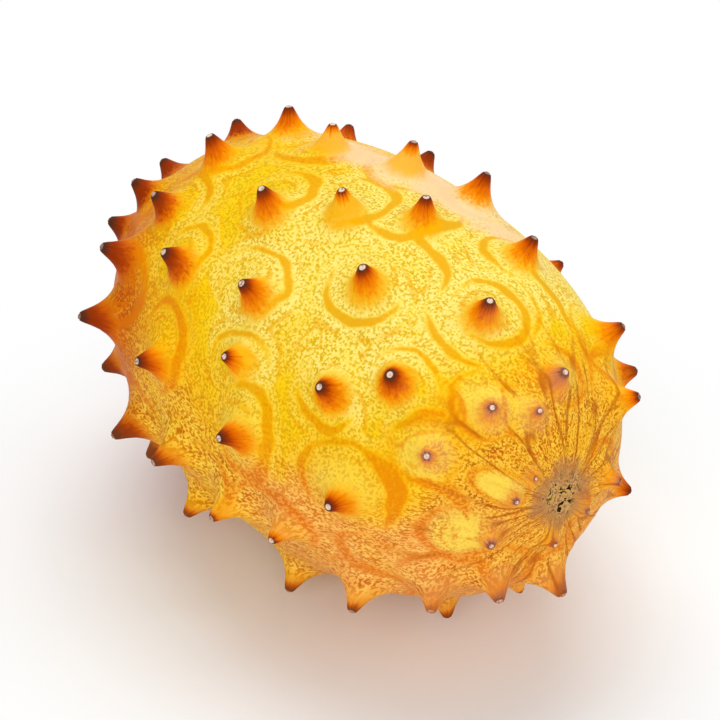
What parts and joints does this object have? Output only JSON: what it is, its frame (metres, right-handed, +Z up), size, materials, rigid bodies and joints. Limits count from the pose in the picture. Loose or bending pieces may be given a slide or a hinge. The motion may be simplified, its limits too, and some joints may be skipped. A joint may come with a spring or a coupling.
{
  "type": "horned melon",
  "caption": "Whole horned melon (kiwano) lying on its side: a stout egg of waxy, mottled yellow-orange skin covered in blunt horns, with a dry stem scar at one end.",
  "frame": {"origin": "on the table under the middle of the whole fruit, horns included", "axes": "+X along the fruit from the blossom end to the stem scar, +Z up"},
  "size_m": [0.125, 0.0864, 0.0839],
  "materials": {
    "skin": "waxy fruit skin, half gloss: yellow with fine olive flecks, orange rings round the horns, dark horn necks with pale tips, brown stem scar"
  },
  "bodies": {
    "root": {"horned_melon": "skin"}
  },
  "joints": []
}
